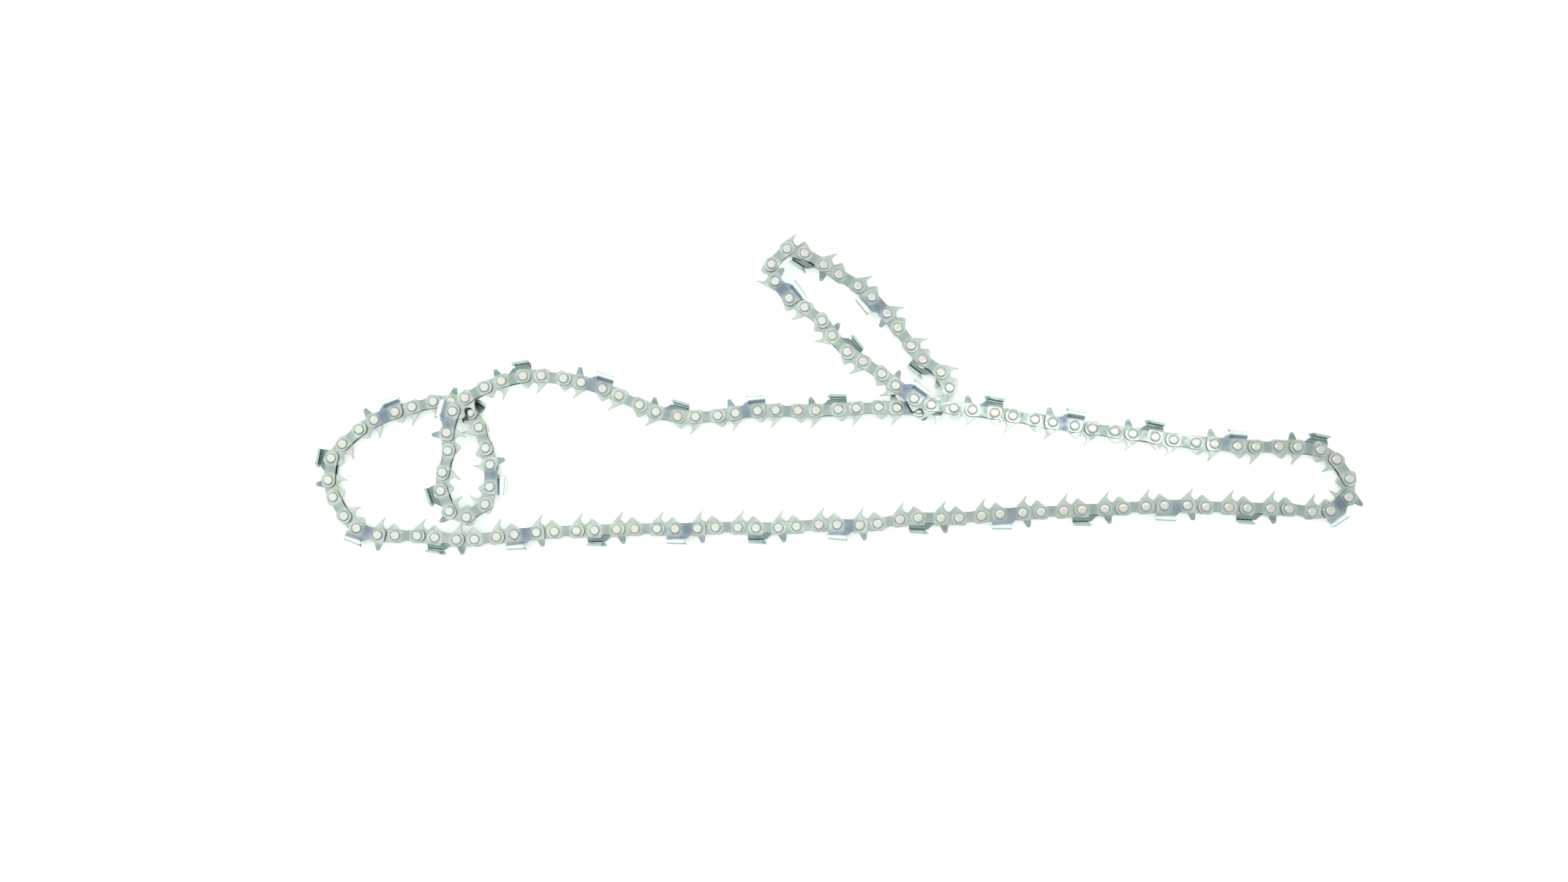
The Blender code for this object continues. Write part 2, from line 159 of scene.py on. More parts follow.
def lay_chain():
    """Rivet centres in mm: links of the exact pitch fitted to the plan."""
    q = np.array([p for row in LAY for p in row], float) - np.array(PLAN_MID)
    q = q / (1.0 + q @ np.array(PLAN_TILT))[:, None] * PLAN_MM
    q[:, 1] *= -1.0
    n = RIVETS
    z = np.array([rise(i) for i in range(n)])
    pitch = np.where(np.arange(n) % 2 == 0, STRAP_PITCH, DRIVE_PITCH)
    flat = np.sqrt(pitch ** 2 - (np.roll(z, -1) - z) ** 2)
    shape = np.zeros((n, n))
    for i in range(n):
        for k, w in ((i, 1.0), (i - 1, -2.0), (i - 2, 1.0)):
            shape[i, (k + 1) % n] += w / pitch[k % n]
            shape[i, k % n] -= w / pitch[k % n]
    h1 = np.eye(n) + BEND_EVEN ** 2 * shape.T @ shape
    hess = np.kron(h1, np.eye(2))
    aim = q.reshape(-1)
    p = q.copy()
    for _ in range(60):
        step = np.roll(p, -1, 0) - p
        rows, miss = [], []
        for i in range(n):
            row = np.zeros((n, 2))
            row[(i + 1) % n] += 2 * step[i]
            row[i] -= 2 * step[i]
            rows.append(row.reshape(-1))
            miss.append(step[i] @ step[i] - flat[i] ** 2)
        for a, b, c, d in SWINGS.values():
            for axis in (0, 1):
                row = np.zeros((n, 2))
                row[b, axis] += 1
                row[a, axis] -= 1
                row[c, axis] -= 1
                row[d, axis] += 1
                rows.append(row.reshape(-1))
                miss.append(row.reshape(-1) @ p.reshape(-1))
        rows, miss = np.array(rows), np.array(miss)
        m = len(miss)
        grad = hess @ p.reshape(-1) - aim
        kkt = np.block([[hess, rows.T], [rows, np.zeros((m, m))]])
        move = np.linalg.solve(kkt, -np.concatenate([grad, miss]))[:2 * n]
        p = p + move.reshape(n, 2)
        if np.abs(move).max() < 1e-10:
            break
    return np.column_stack([p, z + RIDE])


PIVOTS = lay_chain()
# The frame's hinges say where the lay sits in the model's frame.
_where = {}
for _group, _four in SWINGS.items():
    for _k, _r in enumerate(_four):
        _where[_group + ("_swing" if _k == 0 else "_follow_%d" % _k)] = _r
SHIFT = np.mean([np.array(j["pos_m"]) - PIVOTS[_where[j["name"]]] * MM
                 for j in frame["joints"]], axis=0)


def link_frame(i):
    """4x4 in mm of link i: x to its front rivet, y to the tang side."""
    a, b = PIVOTS[i % RIVETS], PIVOTS[(i + 1) % RIVETS]
    x = (b - a) / np.linalg.norm(b - a)
    y = np.array([-x[1], x[0], 0.0])
    y /= np.linalg.norm(y)
    m = np.eye(4)
    m[:3, 0], m[:3, 1], m[:3, 2], m[:3, 3] = x, y, np.cross(x, y), a
    return m


def hand(i):
    """Side of the cutter in link i: +1 has its side plate uppermost."""
    return 1 if (i % RIVETS // 4) % 2 == 0 else -1


# -------------------------------------------------------------- link stampings
def rounded(corners, step=14.0):
    """Closed outline from corners (x, y, radius)."""
    out, n = [], len(corners)
    for k in range(n):
        x0, y0, _ = corners[k - 1]
        x1, y1, r = corners[k]
        x2, y2, _ = corners[(k + 1) % n]
        here = Vector((x1, y1))
        a, b = Vector((x0 - x1, y0 - y1)), Vector((x2 - x1, y2 - y1))
        la, lb = a.length, b.length
        a.normalize()
        b.normalize()
        between = a.angle(b)
        if r <= 0 or between > math.pi - 0.01:
            out.append((x1, y1))
            continue
        cut = min(r / math.tan(between / 2), 0.49 * la, 0.49 * lb)
        r = cut * math.tan(between / 2)
        centre = here + (a + b).normalized() * (r / math.sin(between / 2))
        p0, p1 = here + a * cut, here + b * cut
        a0 = math.atan2(p0.y - centre.y, p0.x - centre.x)
        a1 = math.atan2(p1.y - centre.y, p1.x - centre.x)
        d = (a1 - a0 + math.pi) % (2 * math.pi) - math.pi
        m = max(2, math.ceil(abs(math.degrees(d)) / step))
        for s in range(m + 1):
            t = a0 + d * s / m
            out.append((centre.x + r * math.cos(t), centre.y + r * math.sin(t)))
    return out


def ring(x, y, r, sides=28):
    return [(x + r * math.cos(2 * math.pi * k / sides),
             y + r * math.sin(2 * math.pi * k / sides)) for k in range(sides)]


def stamping(outlines, low, high, edge=EDGE, steps=1):
    """Plate with rounded edges, from an outline and its holes, as a bmesh."""
    curve = bpy.data.curves.new("stamping", "CURVE")
    curve.dimensions = "2D"
    curve.fill_mode = "BOTH"
    curve.extrude = (high - low) / 2 - edge
    curve.bevel_depth = edge
    curve.bevel_resolution = steps
    curve.offset = -edge
    for pts in outlines:
        spline = curve.splines.new("POLY")
        spline.points.add(len(pts) - 1)
        for point, (x, y) in zip(spline.points, pts):
            point.co = (x, y, 0.0, 1.0)
        spline.use_cyclic_u = True
    ob = bpy.data.objects.new("stamping", curve)
    bpy.context.scene.collection.objects.link(ob)
    graph = bpy.context.evaluated_depsgraph_get()
    mesh = bpy.data.meshes.new_from_object(ob.evaluated_get(graph))
    bpy.data.objects.remove(ob)
    bpy.data.curves.remove(curve)
    bm = bmesh.new()
    bm.from_mesh(mesh)
    bpy.data.meshes.remove(mesh)
    bmesh.ops.remove_doubles(bm, verts=bm.verts, dist=1e-4)
    bmesh.ops.translate(bm, verts=bm.verts, vec=(0, 0, (low + high) / 2))
    bmesh.ops.recalc_face_normals(bm, faces=bm.faces)
    return bm


DRIVE = rounded([
    (-3.85, -3.75, 3.6), (4.25, -3.05, 8.0), (12.35, -3.75, 3.6), (12.5, 1.2, 2.6),
    (6.95, 6.15, 1.1), (4.0, 2.5, 1.2), (1.35, 4.9, 2.2), (3.15, 9.15, 0.2),
    (-1.7, 4.05, 9.0), (-4.0, 1.3, 2.2),
])
STRAP = rounded([
    (-3.6, -3.6, 3.3), (5.25, -2.1, 9.0), (14.1, -3.6, 3.3),
    (14.1, 3.6, 3.3), (5.25, 2.45, 12.0), (-3.6, 3.6, 3.3),
])
CUTTER = rounded([
    (-3.6, 3.6, 3.2), (-3.75, -5.0, 0.5), (4.6, -5.3, 0.6), (6.9, -3.1, 2.4),
    (10.1, -2.95, 2.0), (12.3, -7.0, 0.4), (13.8, -6.7, 0.7), (14.3, -1.0, 4.0),
    (14.0, 3.6, 3.2), (5.25, 2.6, 12.0),
])


def to_solid(bm):
    """Arrays of a piece: vertices, faces, flat faces, edge wear."""
    bm.normal_update()
    bm.verts.index_update()
    v = np.array([x.co for x in bm.verts])
    n = np.array([x.normal for x in bm.verts])
    f = [tuple(x.index for x in face.verts) for face in bm.faces]
    flat = np.array([abs(face.normal.z) > 0.9995 for face in bm.faces])
    wear = np.zeros(len(v))
    for x in bm.verts:
        bend = [x.normal.dot((x.co - e.other_vert(x).co).normalized()) for e in x.link_edges]
        wear[x.index] = max(bend) if bend else 0.0
    wear = np.clip(wear * 2.0 - 0.15, 0.0, 1.0)
    bm.free()
    return {"v": v, "n": n, "f": f, "flat": flat, "wear": wear, "inner": np.zeros(len(v))}


def mirrored(piece):
    v, n = piece["v"].copy(), piece["n"].copy()
    v[:, 2] *= -1
    n[:, 2] *= -1
    return {**piece, "v": v, "n": n, "f": [tuple(reversed(f)) for f in piece["f"]]}


def drive_link():
    return to_solid(stamping([DRIVE, ring(0, 0, HUB_HOLE), ring(DRIVE_PITCH, 0, HUB_HOLE)],
                             -GAUGE / 2, GAUGE / 2))


def tie_strap():
    return to_solid(stamping([STRAP, ring(0, 0, SHANK_HOLE, 24), ring(STRAP_PITCH, 0, SHANK_HOLE, 24)],
                             PLY_IN, PLY_OUT))


def tower():
    """Flare and top plate of a cutter, side plate up: a bent plate with a
    hollow-filed front edge, as a bmesh."""
    path = [(2.3, PLY_OUT - 0.02), (3.0, PLY_OUT - 0.02)]
    for s in range(1, 9):
        t = s / 8
        path.append((3.0 + 2.6 * t, PLY_OUT - 0.02 + (KERF - PLY_OUT + 0.02) * (t * t * (3 - 2 * t))))
    bend = 1.45
    for s in range(0, 10):
        t = math.radians(90 * s / 9)
        path.append((TOP_H - bend + bend * math.sin(t), KERF - bend + bend * math.cos(t)))
    flat_from = KERF - bend
    for s in range(1, 8):
        path.append((TOP_H, flat_from - (flat_from + 1.45) * s / 7))
    path = np.array(path)
    along = np.gradient(path, axis=0)
    along /= np.linalg.norm(along, axis=1)[:, None]
    inward = np.column_stack([along[:, 1], -along[:, 0]])      # to the plate's inside
    inside = path + inward * PLATE_T
    inside[:, 1] = np.maximum(inside[:, 1], -1.45)

    def front(h, w):
        if h < TOP_H - 0.02 and w > flat_from - 0.01:
            t = (h - 2.3) / (TOP_H - 2.3)
            return 5.35 - 5.6 * t * (1 - t) ** 0.9 + 0.1 * t
        return 5.45 - (flat_from - w) * math.tan(math.radians(30)) * 0.95

    def place(h, w, x):
        back = max(0.0, 5.45 - x)
        if h > 4.5:
            h = h - 0.065 * back * min(1.0, (h - 4.5) / 2.0)
        if w > PLY_OUT:
            w = w - 0.030 * back * min(1.0, (w - PLY_OUT))
        return (x, -h, w)

    bm = bmesh.new()
    steps = 12
    grids = []
    for surface, pull in ((path, 0.0), (inside, 0.80)):
        grid = []
        for (h, w), (h0, w0) in zip(surface, path):
            x1 = front(h0, w0) - pull * min(1.0, max(0.0, (h0 - 3.2) / 1.5))
            x0 = -4.1 + 0.12 * pull
            grid.append([bm.verts.new(place(h, w, x0 + (x1 - x0) * k / steps)) for k in range(steps + 1)])
        grids.append(grid)
    out, inn = grids
    m = len(path)
    for j in range(m - 1):
        for k in range(steps):
            bm.faces.new((out[j][k], out[j + 1][k], out[j + 1][k + 1], out[j][k + 1]))
            bm.faces.new((inn[j][k], inn[j][k + 1], inn[j + 1][k + 1], inn[j + 1][k]))
        bm.faces.new((out[j][0], inn[j][0], inn[j + 1][0], out[j + 1][0]))
        bm.faces.new((out[j][steps], out[j + 1][steps], inn[j + 1][steps], inn[j][steps]))
    for k in range(steps):
        bm.faces.new((out[0][k], out[0][k + 1], inn[0][k + 1], inn[0][k]))
        bm.faces.new((out[-1][k], inn[-1][k], inn[-1][k + 1], out[-1][k + 1]))
    bmesh.ops.recalc_face_normals(bm, faces=bm.faces)
    return bm


def cutter():
    """Cutter with its side plate up: base plate, depth gauge, flare, top plate."""
    base = stamping([CUTTER, ring(0, 0, SHANK_HOLE, 24), ring(STRAP_PITCH, 0, SHANK_HOLE, 24)],
                    PLY_IN, PLY_OUT)
    obs = []
    for bm, name in ((base, "base"), (tower(), "tower")):
        mesh = bpy.data.meshes.new(name)
        bm.to_mesh(mesh)
        bm.free()
        ob = bpy.data.objects.new(name, mesh)
        bpy.context.scene.collection.objects.link(ob)
        obs.append(ob)
    join = obs[0].modifiers.new("join", "BOOLEAN")
    join.operation = "UNION"
    join.solver = "EXACT"
    join.object = obs[1]
    graph = bpy.context.evaluated_depsgraph_get()
    whole = bpy.data.meshes.new_from_object(obs[0].evaluated_get(graph))
    for ob in obs:
        mesh = ob.data
        bpy.data.objects.remove(ob)
        bpy.data.meshes.remove(mesh)
    bm = bmesh.new()
    bm.from_mesh(whole)
    bpy.data.meshes.remove(whole)
    bmesh.ops.remove_doubles(bm, verts=bm.verts, dist=1e-4)
    bmesh.ops.dissolve_degenerate(bm, edges=bm.edges, dist=1e-4)
    piece = to_solid(bm)
    # inner is painted shade. It darkens the faces inside the hollow under the top plate, more strongly towards
    # the top plate, and it also darkens the top plate's end edge.
    h, w, n = -piece["v"][:, 1], piece["v"][:, 2], piece["n"]
    t = np.clip((h - 5.6) / 1.2, 0.0, 1.0)
    outward = -n[:, 1] * t + n[:, 2] * (1 - t)
    deep = np.clip((h - 2.4) / 2.0, 0.35, 1.0)
    piece["inner"] = np.where(h > 3.0, np.clip(-outward * 1.6, 0.0, 1.0), 0.0) * (w < 3.4) * deep
    piece["inner"] = np.maximum(piece["inner"], np.where((h > 5.0) & (w < -1.2), 0.8, 0.0))
    return piece


def rivet():
    """Turned and peened rivet on the z axis."""
    half = [(2.05, 0.0), (2.05, PLY_IN - 0.06), (SHANK_R, PLY_IN - 0.03), (SHANK_R, PLY_OUT + 0.02),
            (2.26, PLY_OUT + 0.02), (2.36, PLY_OUT + 0.08), (2.37, PLY_OUT + 0.20),
            (2.31, PLY_OUT + 0.34), (2.16, PLY_OUT + 0.47), (1.93, PLY_OUT + 0.565),
            (1.62, PLY_OUT + 0.62), (1.15, PLY_OUT + 0.642), (0.66, PLY_OUT + 0.645),
            (0.36, PLY_OUT + 0.625)]
    sides = 28
    bm = bmesh.new()
    prof = [(r, -z) for r, z in reversed(half)] + half[1:]
    rows = [[bm.verts.new((r * math.cos(2 * math.pi * k / sides), r * math.sin(2 * math.pi * k / sides), z))
             for k in range(sides)] for r, z in prof]
    for a, b in zip(rows, rows[1:]):
        for k in range(sides):
            bm.faces.new((a[k], a[(k + 1) % sides], b[(k + 1) % sides], b[k]))
    for row, z in ((rows[0], -PLY_OUT - 0.615), (rows[-1], PLY_OUT + 0.615)):
        c = bm.verts.new((0, 0, z))
        for k in range(sides):
            bm.faces.new((row[k], row[(k + 1) % sides], c))
    bmesh.ops.recalc_face_normals(bm, faces=bm.faces)
    return to_solid(bm)


DRIVE_LINK = drive_link()
STRAP_UP = tie_strap()
STRAP_DOWN = mirrored(STRAP_UP)
CUTTER_UP = cutter()
CUTTER_DOWN = mirrored(CUTTER_UP)
RIVET = rivet()
RIVET["flat"][:] = False


def worn(piece):
    """Wear at the corners of each face: on the rounded edges, not the flats."""
    return np.concatenate([np.zeros(len(f)) if flat else piece["wear"][list(f)]
                           for f, flat in zip(piece["f"], piece["flat"])])


for piece in (DRIVE_LINK, STRAP_UP, STRAP_DOWN, CUTTER_UP, CUTTER_DOWN, RIVET):
    piece["worn"] = worn(piece)


# ----------------------------------------------------------------- materials
class Graph:
    """Builds one steel's nodes; lengths are in mm of the link's own frame."""

    def __init__(self, name):
        self.mat = bpy.data.materials.new(name)
        self.mat.use_nodes = True
        self.tree = self.mat.node_tree
        self.bsdf = self.tree.nodes["Principled BSDF"]
        where = self.tree.nodes.new("ShaderNodeAttribute")
        where.attribute_name = "loc"
        self.loc = where.outputs["Vector"]
        self.tone = self.named("tone")
        self.wear = self.named("wear")
        self.inner = self.named("inner")
        shift = self.new("ShaderNodeCombineXYZ", X=self.math("MULTIPLY", self.tone, 97.0),
                         Y=self.math("MULTIPLY", self.tone, 53.0), Z=self.math("MULTIPLY", self.tone, 31.0))
        self.spot = self.vector("ADD", self.loc, shift.outputs[0])
        cut = self.new("ShaderNodeSeparateXYZ", Vector=self.loc)
        self.x, self.y, self.z = cut.outputs

    def put(self, socket, value):
        if isinstance(value, bpy.types.NodeSocket):
            self.tree.links.new(value, socket)
        else:
            socket.default_value = value

    def new(self, kind, **inputs):
        node = self.tree.nodes.new(kind)
        for name, value in inputs.items():
            self.put(node.inputs[name], value)
        return node

    def named(self, name):
        node = self.tree.nodes.new("ShaderNodeAttribute")
        node.attribute_name = name
        return node.outputs["Fac"]

    def math(self, op, a, b=0.0, clamp=False):
        node = self.tree.nodes.new("ShaderNodeMath")
        node.operation = op
        node.use_clamp = clamp
        self.put(node.inputs[0], a)
        self.put(node.inputs[1], b)
        return node.outputs[0]

    def vector(self, op, a, b):
        node = self.tree.nodes.new("ShaderNodeVectorMath")
        node.operation = op
        self.put(node.inputs[0], a)
        self.put(node.inputs[1], b)
        return node.outputs["Value"] if op in ("LENGTH", "DISTANCE") else node.outputs["Vector"]

    def band(self, value, low, high, a=0.0, b=1.0):
        node = self.tree.nodes.new("ShaderNodeMapRange")
        node.interpolation_type = "SMOOTHSTEP"
        self.put(node.inputs["Value"], value)
        for name, v in (("From Min", low), ("From Max", high), ("To Min", a), ("To Max", b)):
            node.inputs[name].default_value = v
        return node.outputs["Result"]

    def noise(self, scale, detail=4.0, rough=0.6, stretch=None, warp=0.0):
        vec = self.spot if stretch is None else self.vector("MULTIPLY", self.spot, stretch)
        node = self.new("ShaderNodeTexNoise", Vector=vec, Scale=scale, Detail=detail,
                        Roughness=rough, Distortion=warp)
        return node.outputs["Fac"]

    def blend(self, fac, a, b):
        node = self.tree.nodes.new("ShaderNodeMix")
        node.data_type = "RGBA"
        fac_in = node.inputs[0]
        colour_in = [s for s in node.inputs if s.type == "RGBA"]
        self.put(fac_in, fac)
        self.put(colour_in[0], (*a, 1.0) if isinstance(a, tuple) else a)
        self.put(colour_in[1], (*b, 1.0) if isinstance(b, tuple) else b)
        return [s for s in node.outputs if s.type == "RGBA"][0]

    def near(self, points):
        """Distance in the plate's plane to the nearest of these rivets."""
        flat = self.vector("MULTIPLY", self.loc, (1.0, 1.0, 0.0))
        best = None
        for p in points:
            d = self.vector("DISTANCE", flat, (p, 0.0, 0.0))
            best = d if best is None else self.math("MINIMUM", best, d)
        return best

    def finish(self, colour, roughness, height, strength, distance):
        self.put(self.bsdf.inputs["Base Color"], colour)
        self.put(self.bsdf.inputs["Roughness"], roughness)
        self.bsdf.inputs["Metallic"].default_value = 1.0
        bump = self.new("ShaderNodeBump", Strength=strength, Distance=distance, Height=height)
        self.put(self.bsdf.inputs["Normal"], bump.outputs["Normal"])
        return self.mat


def plate_steel(name, pitch, light, dull, warm, mid, oil, bright, mid_at, mid_wide, mid_amount, rough):
    """Rolled and tumbled plate: dull stains, a warm cast in places, a dark
    middle, an oily ring round each rivet and rubbed edges."""
    g = Graph(name)
    stain = g.band(g.noise(0.21, 6.0, 0.62, warp=0.6), 0.40, 0.66)
    cloud = g.noise(0.075, 3.0, 0.5)
    brush = g.noise(1.0, 4.0, 0.65, stretch=(0.35, 5.5, 5.5))
    grain = g.noise(4.5, 3.0, 0.6)
    near = g.near((0.0, pitch))
    off = g.math("ABSOLUTE", g.math("SUBTRACT", g.x, mid_at))
    middle = g.math("MULTIPLY", g.band(off, 0.25 * mid_wide, mid_wide, 1.0, 0.0),
                    g.band(cloud, 0.30, 0.62, mid_amount * 0.55, mid_amount))
    rim = g.math("MULTIPLY", g.band(near, 2.45, 3.35, 1.0, 0.0), g.band(stain, 0.0, 1.0, 0.30, 0.65))
    cast = g.band(g.noise(0.13, 3.0, 0.5, warp=0.4), 0.46, 0.66, 0.0, 0.55)
    colour = g.blend(g.math("MULTIPLY", stain, 0.75), light, dull)
    colour = g.blend(cast, colour, warm)
    colour = g.blend(g.math("MULTIPLY", brush, 0.22), colour, dull)
    colour = g.blend(middle, colour, mid)
    colour = g.blend(rim, colour, oil)
    colour = g.blend(g.band(g.tone, 0.0, 1.0, 0.0, 0.22), colour, mid)
    colour = g.blend(g.math("MULTIPLY", g.wear, g.band(grain, 0.35, 0.6, 0.25, 0.8)), colour, bright)
    roughness = g.math("ADD", g.math("MULTIPLY", stain, 0.16), g.math("MULTIPLY", grain, 0.14))
    roughness = g.math("ADD", roughness, rough - 0.07)
    roughness = g.math("SUBTRACT", roughness, g.math("MULTIPLY", g.wear, 0.08), clamp=True)
    height = g.math("ADD", g.math("MULTIPLY", brush, 0.7), g.math("MULTIPLY", grain, 0.3))
    return g, colour, roughness, height


def drive_steel():
    g, colour, roughness, height = plate_steel(
        "drive_steel", DRIVE_PITCH, (0.44, 0.50, 0.445), (0.33, 0.38, 0.34), (0.41, 0.40, 0.36),
        (0.23, 0.275, 0.26), (0.20, 0.225, 0.205), (0.62, 0.68, 0.62), 4.3, 4.2, 0.55, 0.17)
    # The tang is rubbed along the bar groove.
    rub = g.math("MULTIPLY", g.band(g.y, 3.2, 6.4), g.band(g.noise(0.5, 4.0), 0.3, 0.6, 0.35, 0.8))
    colour = g.blend(rub, colour, (0.42, 0.48, 0.43))
    return g.finish(colour, roughness, height, 0.30, 0.00001)


def strap_steel():
    g, colour, roughness, height = plate_steel(
        "strap_steel", STRAP_PITCH, (0.46, 0.52, 0.47), (0.35, 0.40, 0.37), (0.44, 0.42, 0.385),
        (0.18, 0.235, 0.225), (0.24, 0.27, 0.25), (0.70, 0.76, 0.70), 5.25, 3.3, 0.80, 0.15)
    return g.finish(colour, roughness, height, 0.28, 0.00001)


def cutter_chrome():
    g, colour, roughness, height = plate_steel(
        "cutter_chrome", STRAP_PITCH, (0.44, 0.495, 0.48), (0.33, 0.38, 0.375), (0.42, 0.405, 0.385),
        (0.125, 0.165, 0.205), (0.22, 0.25, 0.25), (0.68, 0.75, 0.73), 5.5, 4.3, 0.95, 0.13)
    # The top plate is honed bright and the depth gauge is left dull. The flare
    # under the top plate is painted a blue-grey shade, and the inside of the cutter
    # is rougher and painted darker: painted shade in the hollow under the top plate.
    over = g.math("MULTIPLY", g.y, -1.0)
    tip = g.band(g.x, 7.5, 9.0)
    gauge = g.math("MULTIPLY", g.band(over, 2.6, 4.4), tip)
    colour = g.blend(g.math("MULTIPLY", gauge, 0.85), colour, (0.20, 0.25, 0.25))
    # Painted shade: the sloping flare under the top plate is darkened towards blue-grey.
    flare = g.math("MULTIPLY", g.band(over, 1.4, 3.0), g.band(over, 4.4, 5.6, 1.0, 0.0))
    flare = g.math("MULTIPLY", flare, g.math("SUBTRACT", 1.0, tip))
    colour = g.blend(g.math("MULTIPLY", flare, 0.55), colour, (0.21, 0.262, 0.305))
    honed = g.math("MULTIPLY", g.band(over, 4.2, 5.6), g.math("SUBTRACT", 1.0, g.inner))
    honed = g.math("MULTIPLY", honed, g.math("SUBTRACT", 1.0, tip))
    colour = g.blend(g.math("MULTIPLY", honed, 0.85), colour, (0.70, 0.78, 0.75))
    # Colour of the painted shade in the hollow: dark low down, paler on the underside of the top plate.
    inside = g.blend(g.band(over, 5.2, 6.4), (0.13, 0.19, 0.18), (0.32, 0.42, 0.395))
    colour = g.blend(g.math("MULTIPLY", g.inner, 0.90), colour, inside)
    roughness = g.math("ADD", roughness, g.math("MULTIPLY", g.inner, 0.15), clamp=True)
    return g.finish(colour, roughness, height, 0.22, 0.00001)


def rivet_steel():
    g = Graph("rivet_steel")
    out = g.vector("LENGTH", g.vector("MULTIPLY", g.loc, (1.0, 1.0, 0.0)), (0.0, 0.0, 0.0))
    peen = g.noise(1.6, 3.0, 0.55, warp=0.8)
    grain = g.noise(5.0, 3.0, 0.6)
    rings = g.math("SINE", g.math("ADD", g.math("MULTIPLY", out, 16.0), g.math("MULTIPLY", peen, 5.0)))
    rim = g.band(out, 1.45, 2.15)
    eye = g.band(out, 0.30, 0.75, 1.0, 0.0)
    colour = g.blend(g.math("MULTIPLY", g.band(peen, 0.40, 0.66), 0.45), (0.53, 0.55, 0.51), (0.41, 0.43, 0.40))
    colour = g.blend(g.math("MULTIPLY", rim, 0.55), colour, (0.22, 0.25, 0.23))
    colour = g.blend(g.math("MULTIPLY", eye, 0.22), colour, (0.40, 0.43, 0.40))
    colour = g.blend(g.band(g.tone, 0.0, 1.0, 0.0, 0.40), colour, (0.48, 0.435, 0.405))
    roughness = g.math("ADD", g.math("MULTIPLY", grain, 0.16), g.math("MULTIPLY", peen, 0.14))
    roughness = g.math("ADD", roughness, 0.03, clamp=True)
    height = g.math("ADD", g.math("MULTIPLY", peen, 0.8), g.math("MULTIPLY", rings, 0.10))
    return g.finish(colour, roughness, height, 0.45, 0.00002)


STEELS = {"drive": drive_steel(), "strap": strap_steel(), "cutter": cutter_chrome(), "rivet": rivet_steel()}

# -------------------------------------------------------------------- pieces
BODY_OF = {n: b for b, names in frame["record"]["behaviour"]["bodies"].items() for n in names}
dice = random.Random(11)
TONE = [dice.random() for _ in range(2 * RIVETS)]


def put_together(name, kind, items, node):
    """One object of several like stampings: (piece, link, place along it)."""
    verts, faces, flat, loc, wear, inner, tone = [], [], [], [], [], [], []
    base = 0
    for piece, i, x in items:
        m = link_frame(i)
        v = piece["v"] + np.array([x, 0.0, 0.0])
        w = v @ m[:3, :3].T + m[:3, 3]
        verts.append(w * MM + SHIFT)
        faces += [tuple(base + k for k in f) for f in piece["f"]]
        flat.append(piece["flat"])
        loc.append(piece["v"])
        wear.append(piece["worn"])
        inner.append(piece["inner"])
        seed = TONE[i % RIVETS + (RIVETS if x else 0)]
        tone.append(np.full(len(v), seed))
        base += len(v)
    mesh = bpy.data.meshes.new(name)
    mesh.from_pydata(np.concatenate(verts).tolist(), [], faces)
    for label, values, where in (("wear", wear, "CORNER"), ("inner", inner, "POINT"), ("tone", tone, "POINT")):
        mesh.attributes.new(label, "FLOAT", where).data.foreach_set(
            "value", np.concatenate(values).astype(np.float32))
    mesh.attributes.new("loc", "FLOAT_VECTOR", "POINT").data.foreach_set(
        "vector", np.concatenate(loc).astype(np.float32).ravel())
    mesh.set_sharp_from_angle(angle=math.radians(42))
    mesh.polygons.foreach_set("use_smooth", ~np.concatenate(flat))
    mesh.materials.append(STEELS[kind])
    mesh.update()
    ob = bpy.data.objects.new(name, mesh)
    bpy.context.scene.collection.objects.link(ob)
    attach(ob, BODY_OF[node])
    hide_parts(node)
    return ob


WORDS = {"drive": "drive_links", "strap": "tie_straps", "cutter": "cutters", "rivet": "rivets"}


def link_items(i):
    """Stampings and rivets of link i, by kind."""
    if i % 2 == 1:
        return {"drive": [(DRIVE_LINK, i, 0.0)]}
    rivets = [(RIVET, i, 0.0), (RIVET, i, STRAP_PITCH)]
    if i % 4 == 2:
        return {"strap": [(STRAP_UP, i, 0.0), (STRAP_DOWN, i, 0.0)], "rivet": rivets}
    if hand(i) > 0:
        return {"cutter": [(CUTTER_UP, i, 0.0)], "strap": [(STRAP_DOWN, i, 0.0)], "rivet": rivets}
    return {"cutter": [(CUTTER_DOWN, i, 0.0)], "strap": [(STRAP_UP, i, 0.0)], "rivet": rivets}


for name, first, last in SECTIONS:
    kinds = {}
    for i in range(first, last):
        for kind, items in link_items(i).items():
            kinds.setdefault(kind, []).extend(items)
    for kind, items in kinds.items():
        put_together("%s.%s" % (name, WORDS[kind]), kind, items, name)

for i, prefix in LOOSE_LINKS:
    if i % 2 == 1:
        node = prefix + "_drive_link"
        put_together(node + ".detail", "drive", [(DRIVE_LINK, i, 0.0)], node)
        continue
    if i % 4 == 2:
        for piece, word in ((STRAP_UP, "_strap_top"), (STRAP_DOWN, "_strap_under")):
            put_together(prefix + word + ".detail", "strap", [(piece, i, 0.0)], prefix + word)
    else:
        up = hand(i) > 0
        put_together(prefix + ".detail", "cutter", [(CUTTER_UP if up else CUTTER_DOWN, i, 0.0)], prefix)
        put_together(prefix + "_tie_strap.detail", "strap",
                     [(STRAP_DOWN if up else STRAP_UP, i, 0.0)], prefix + "_tie_strap")
    for x, word in ((0.0, "_rivet_rear"), (STRAP_PITCH, "_rivet_front")):
        put_together(prefix + word + ".detail", "rivet", [(RIVET, i, x)], prefix + word)


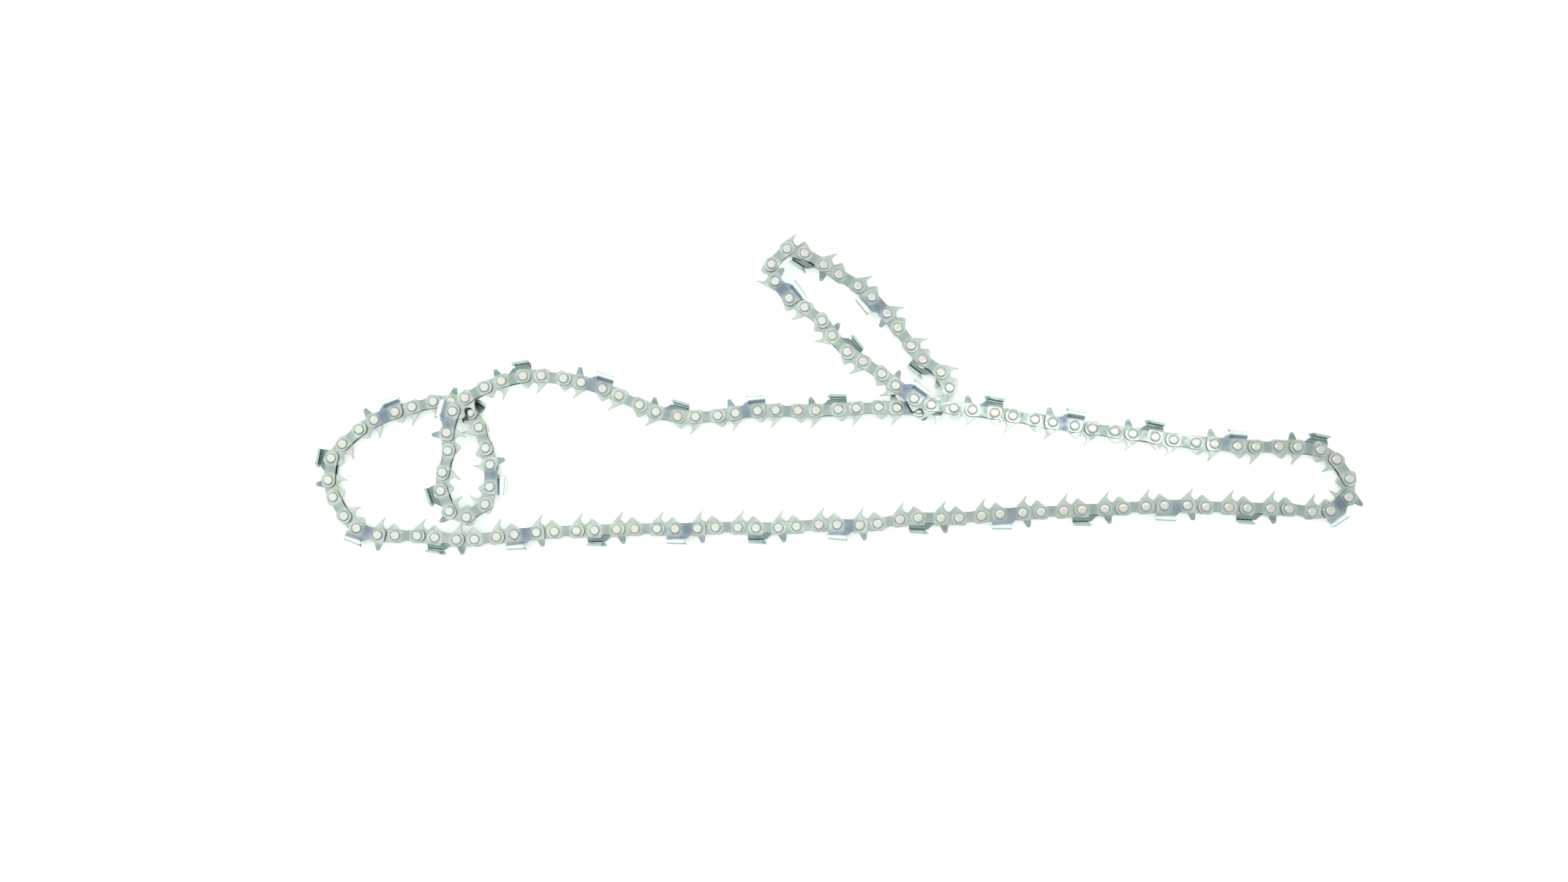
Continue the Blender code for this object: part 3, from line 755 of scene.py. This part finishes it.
# --------------------------------------------------------------- stage, light
def paper():
    mat = bpy.data.materials.new("white_paper")
    mat.use_nodes = True
    tree = mat.node_tree
    bsdf = tree.nodes["Principled BSDF"]
    coord = tree.nodes.new("ShaderNodeTexCoord")
    fibre = tree.nodes.new("ShaderNodeTexNoise")
    fibre.inputs["Scale"].default_value = 900.0
    fibre.inputs["Detail"].default_value = 4.0
    tree.links.new(coord.outputs["Object"], fibre.inputs["Vector"])
    ramp = tree.nodes.new("ShaderNodeValToRGB")
    ramp.color_ramp.elements[0].color = (0.86, 0.90, 0.87, 1.0)
    ramp.color_ramp.elements[1].color = (0.93, 0.96, 0.93, 1.0)
    tree.links.new(fibre.outputs["Fac"], ramp.inputs["Fac"])
    tree.links.new(ramp.outputs["Color"], bsdf.inputs["Base Color"])
    bsdf.inputs["Roughness"].default_value = 0.85
    bsdf.inputs["Emission Color"].default_value = (0.97, 1.0, 0.97, 1.0)
    bsdf.inputs["Emission Strength"].default_value = 0.35
    return mat


bm = bmesh.new()
bmesh.ops.create_grid(bm, x_segments=8, y_segments=8, size=3.0)
bmesh.ops.translate(bm, verts=bm.verts, vec=(0, 0, -0.00015))
mesh = bpy.data.meshes.new("table_top")
bm.to_mesh(mesh)
bm.free()
mesh.materials.append(paper())
floor = bpy.data.objects.new("table_top", mesh)
bpy.context.scene.collection.objects.link(floor)

world = bpy.data.worlds.new("studio")
bpy.context.scene.world = world
world.use_nodes = True
tree = world.node_tree
back = tree.nodes["Background"]
coord = tree.nodes.new("ShaderNodeTexCoord")
cut = tree.nodes.new("ShaderNodeSeparateXYZ")
ramp = tree.nodes.new("ShaderNodeValToRGB")
ramp.color_ramp.interpolation = "EASE"
ramp.color_ramp.elements[0].position = 0.0
ramp.color_ramp.elements[0].color = (0.44, 0.50, 0.55, 1.0)
ramp.color_ramp.elements[1].position = 0.85
ramp.color_ramp.elements[1].color = (0.97, 1.0, 0.975, 1.0)
lean = tree.nodes.new("ShaderNodeMath")        # paler towards the far side
lean.operation = "MULTIPLY_ADD"
lean.inputs[1].default_value = 0.42
tree.links.new(coord.outputs["Generated"], cut.inputs[0])
tree.links.new(cut.outputs["Y"], lean.inputs[0])
tree.links.new(cut.outputs["Z"], lean.inputs[2])
tree.links.new(lean.outputs[0], ramp.inputs["Fac"])
tree.links.new(ramp.outputs["Color"], back.inputs["Color"])
back.inputs["Strength"].default_value = 1.32


def softbox(name, where, aim, size, watts, colour=(1.0, 1.0, 1.0)):
    light = bpy.data.lights.new(name, "AREA")
    light.shape = "RECTANGLE"
    light.size, light.size_y = size
    light.energy = watts
    light.color = colour
    ob = bpy.data.objects.new(name, light)
    ob.location = where
    ob.rotation_euler = (Vector(aim) - Vector(where)).to_track_quat("-Z", "Y").to_euler()
    bpy.context.scene.collection.objects.link(ob)
    return ob


softbox("top_box", (-0.55, 0.15, 1.5), (-0.55, 0.15, 0), (1.3, 1.4), 2.3, (0.98, 1.0, 0.98))
softbox("left_box", (-1.4, 0.5, 1.0), (0, 0, 0), (1.2, 1.2), 2.4, (0.94, 1.0, 1.0))
strip = softbox("strip_light", (0.156, 0.0141, 0.3), (0.156, 0.0141, 0), (0.20, 0.028), 0.040, (0.98, 1.0, 0.97))
strip.rotation_euler = (0.0, 0.0, -0.134)

# -------------------------------------------------------------------- camera
cam = bpy.data.cameras.new("camera")
cam.sensor_width = 36.0
cam.lens = 34.0
camera = bpy.data.objects.new("camera", cam)
camera.location = Vector((1.263, -77.105, 700.0)) * MM + Vector(SHIFT)
camera.rotation_euler = (0.0892, 0.0401, 0.0043)
bpy.context.scene.collection.objects.link(camera)
bpy.context.scene.camera = camera
bpy.context.scene.view_settings.view_transform = "Standard"
bpy.context.scene.view_settings.look = "None"
bpy.context.scene.view_settings.exposure = 0.0

bpy.context.view_layer.update()
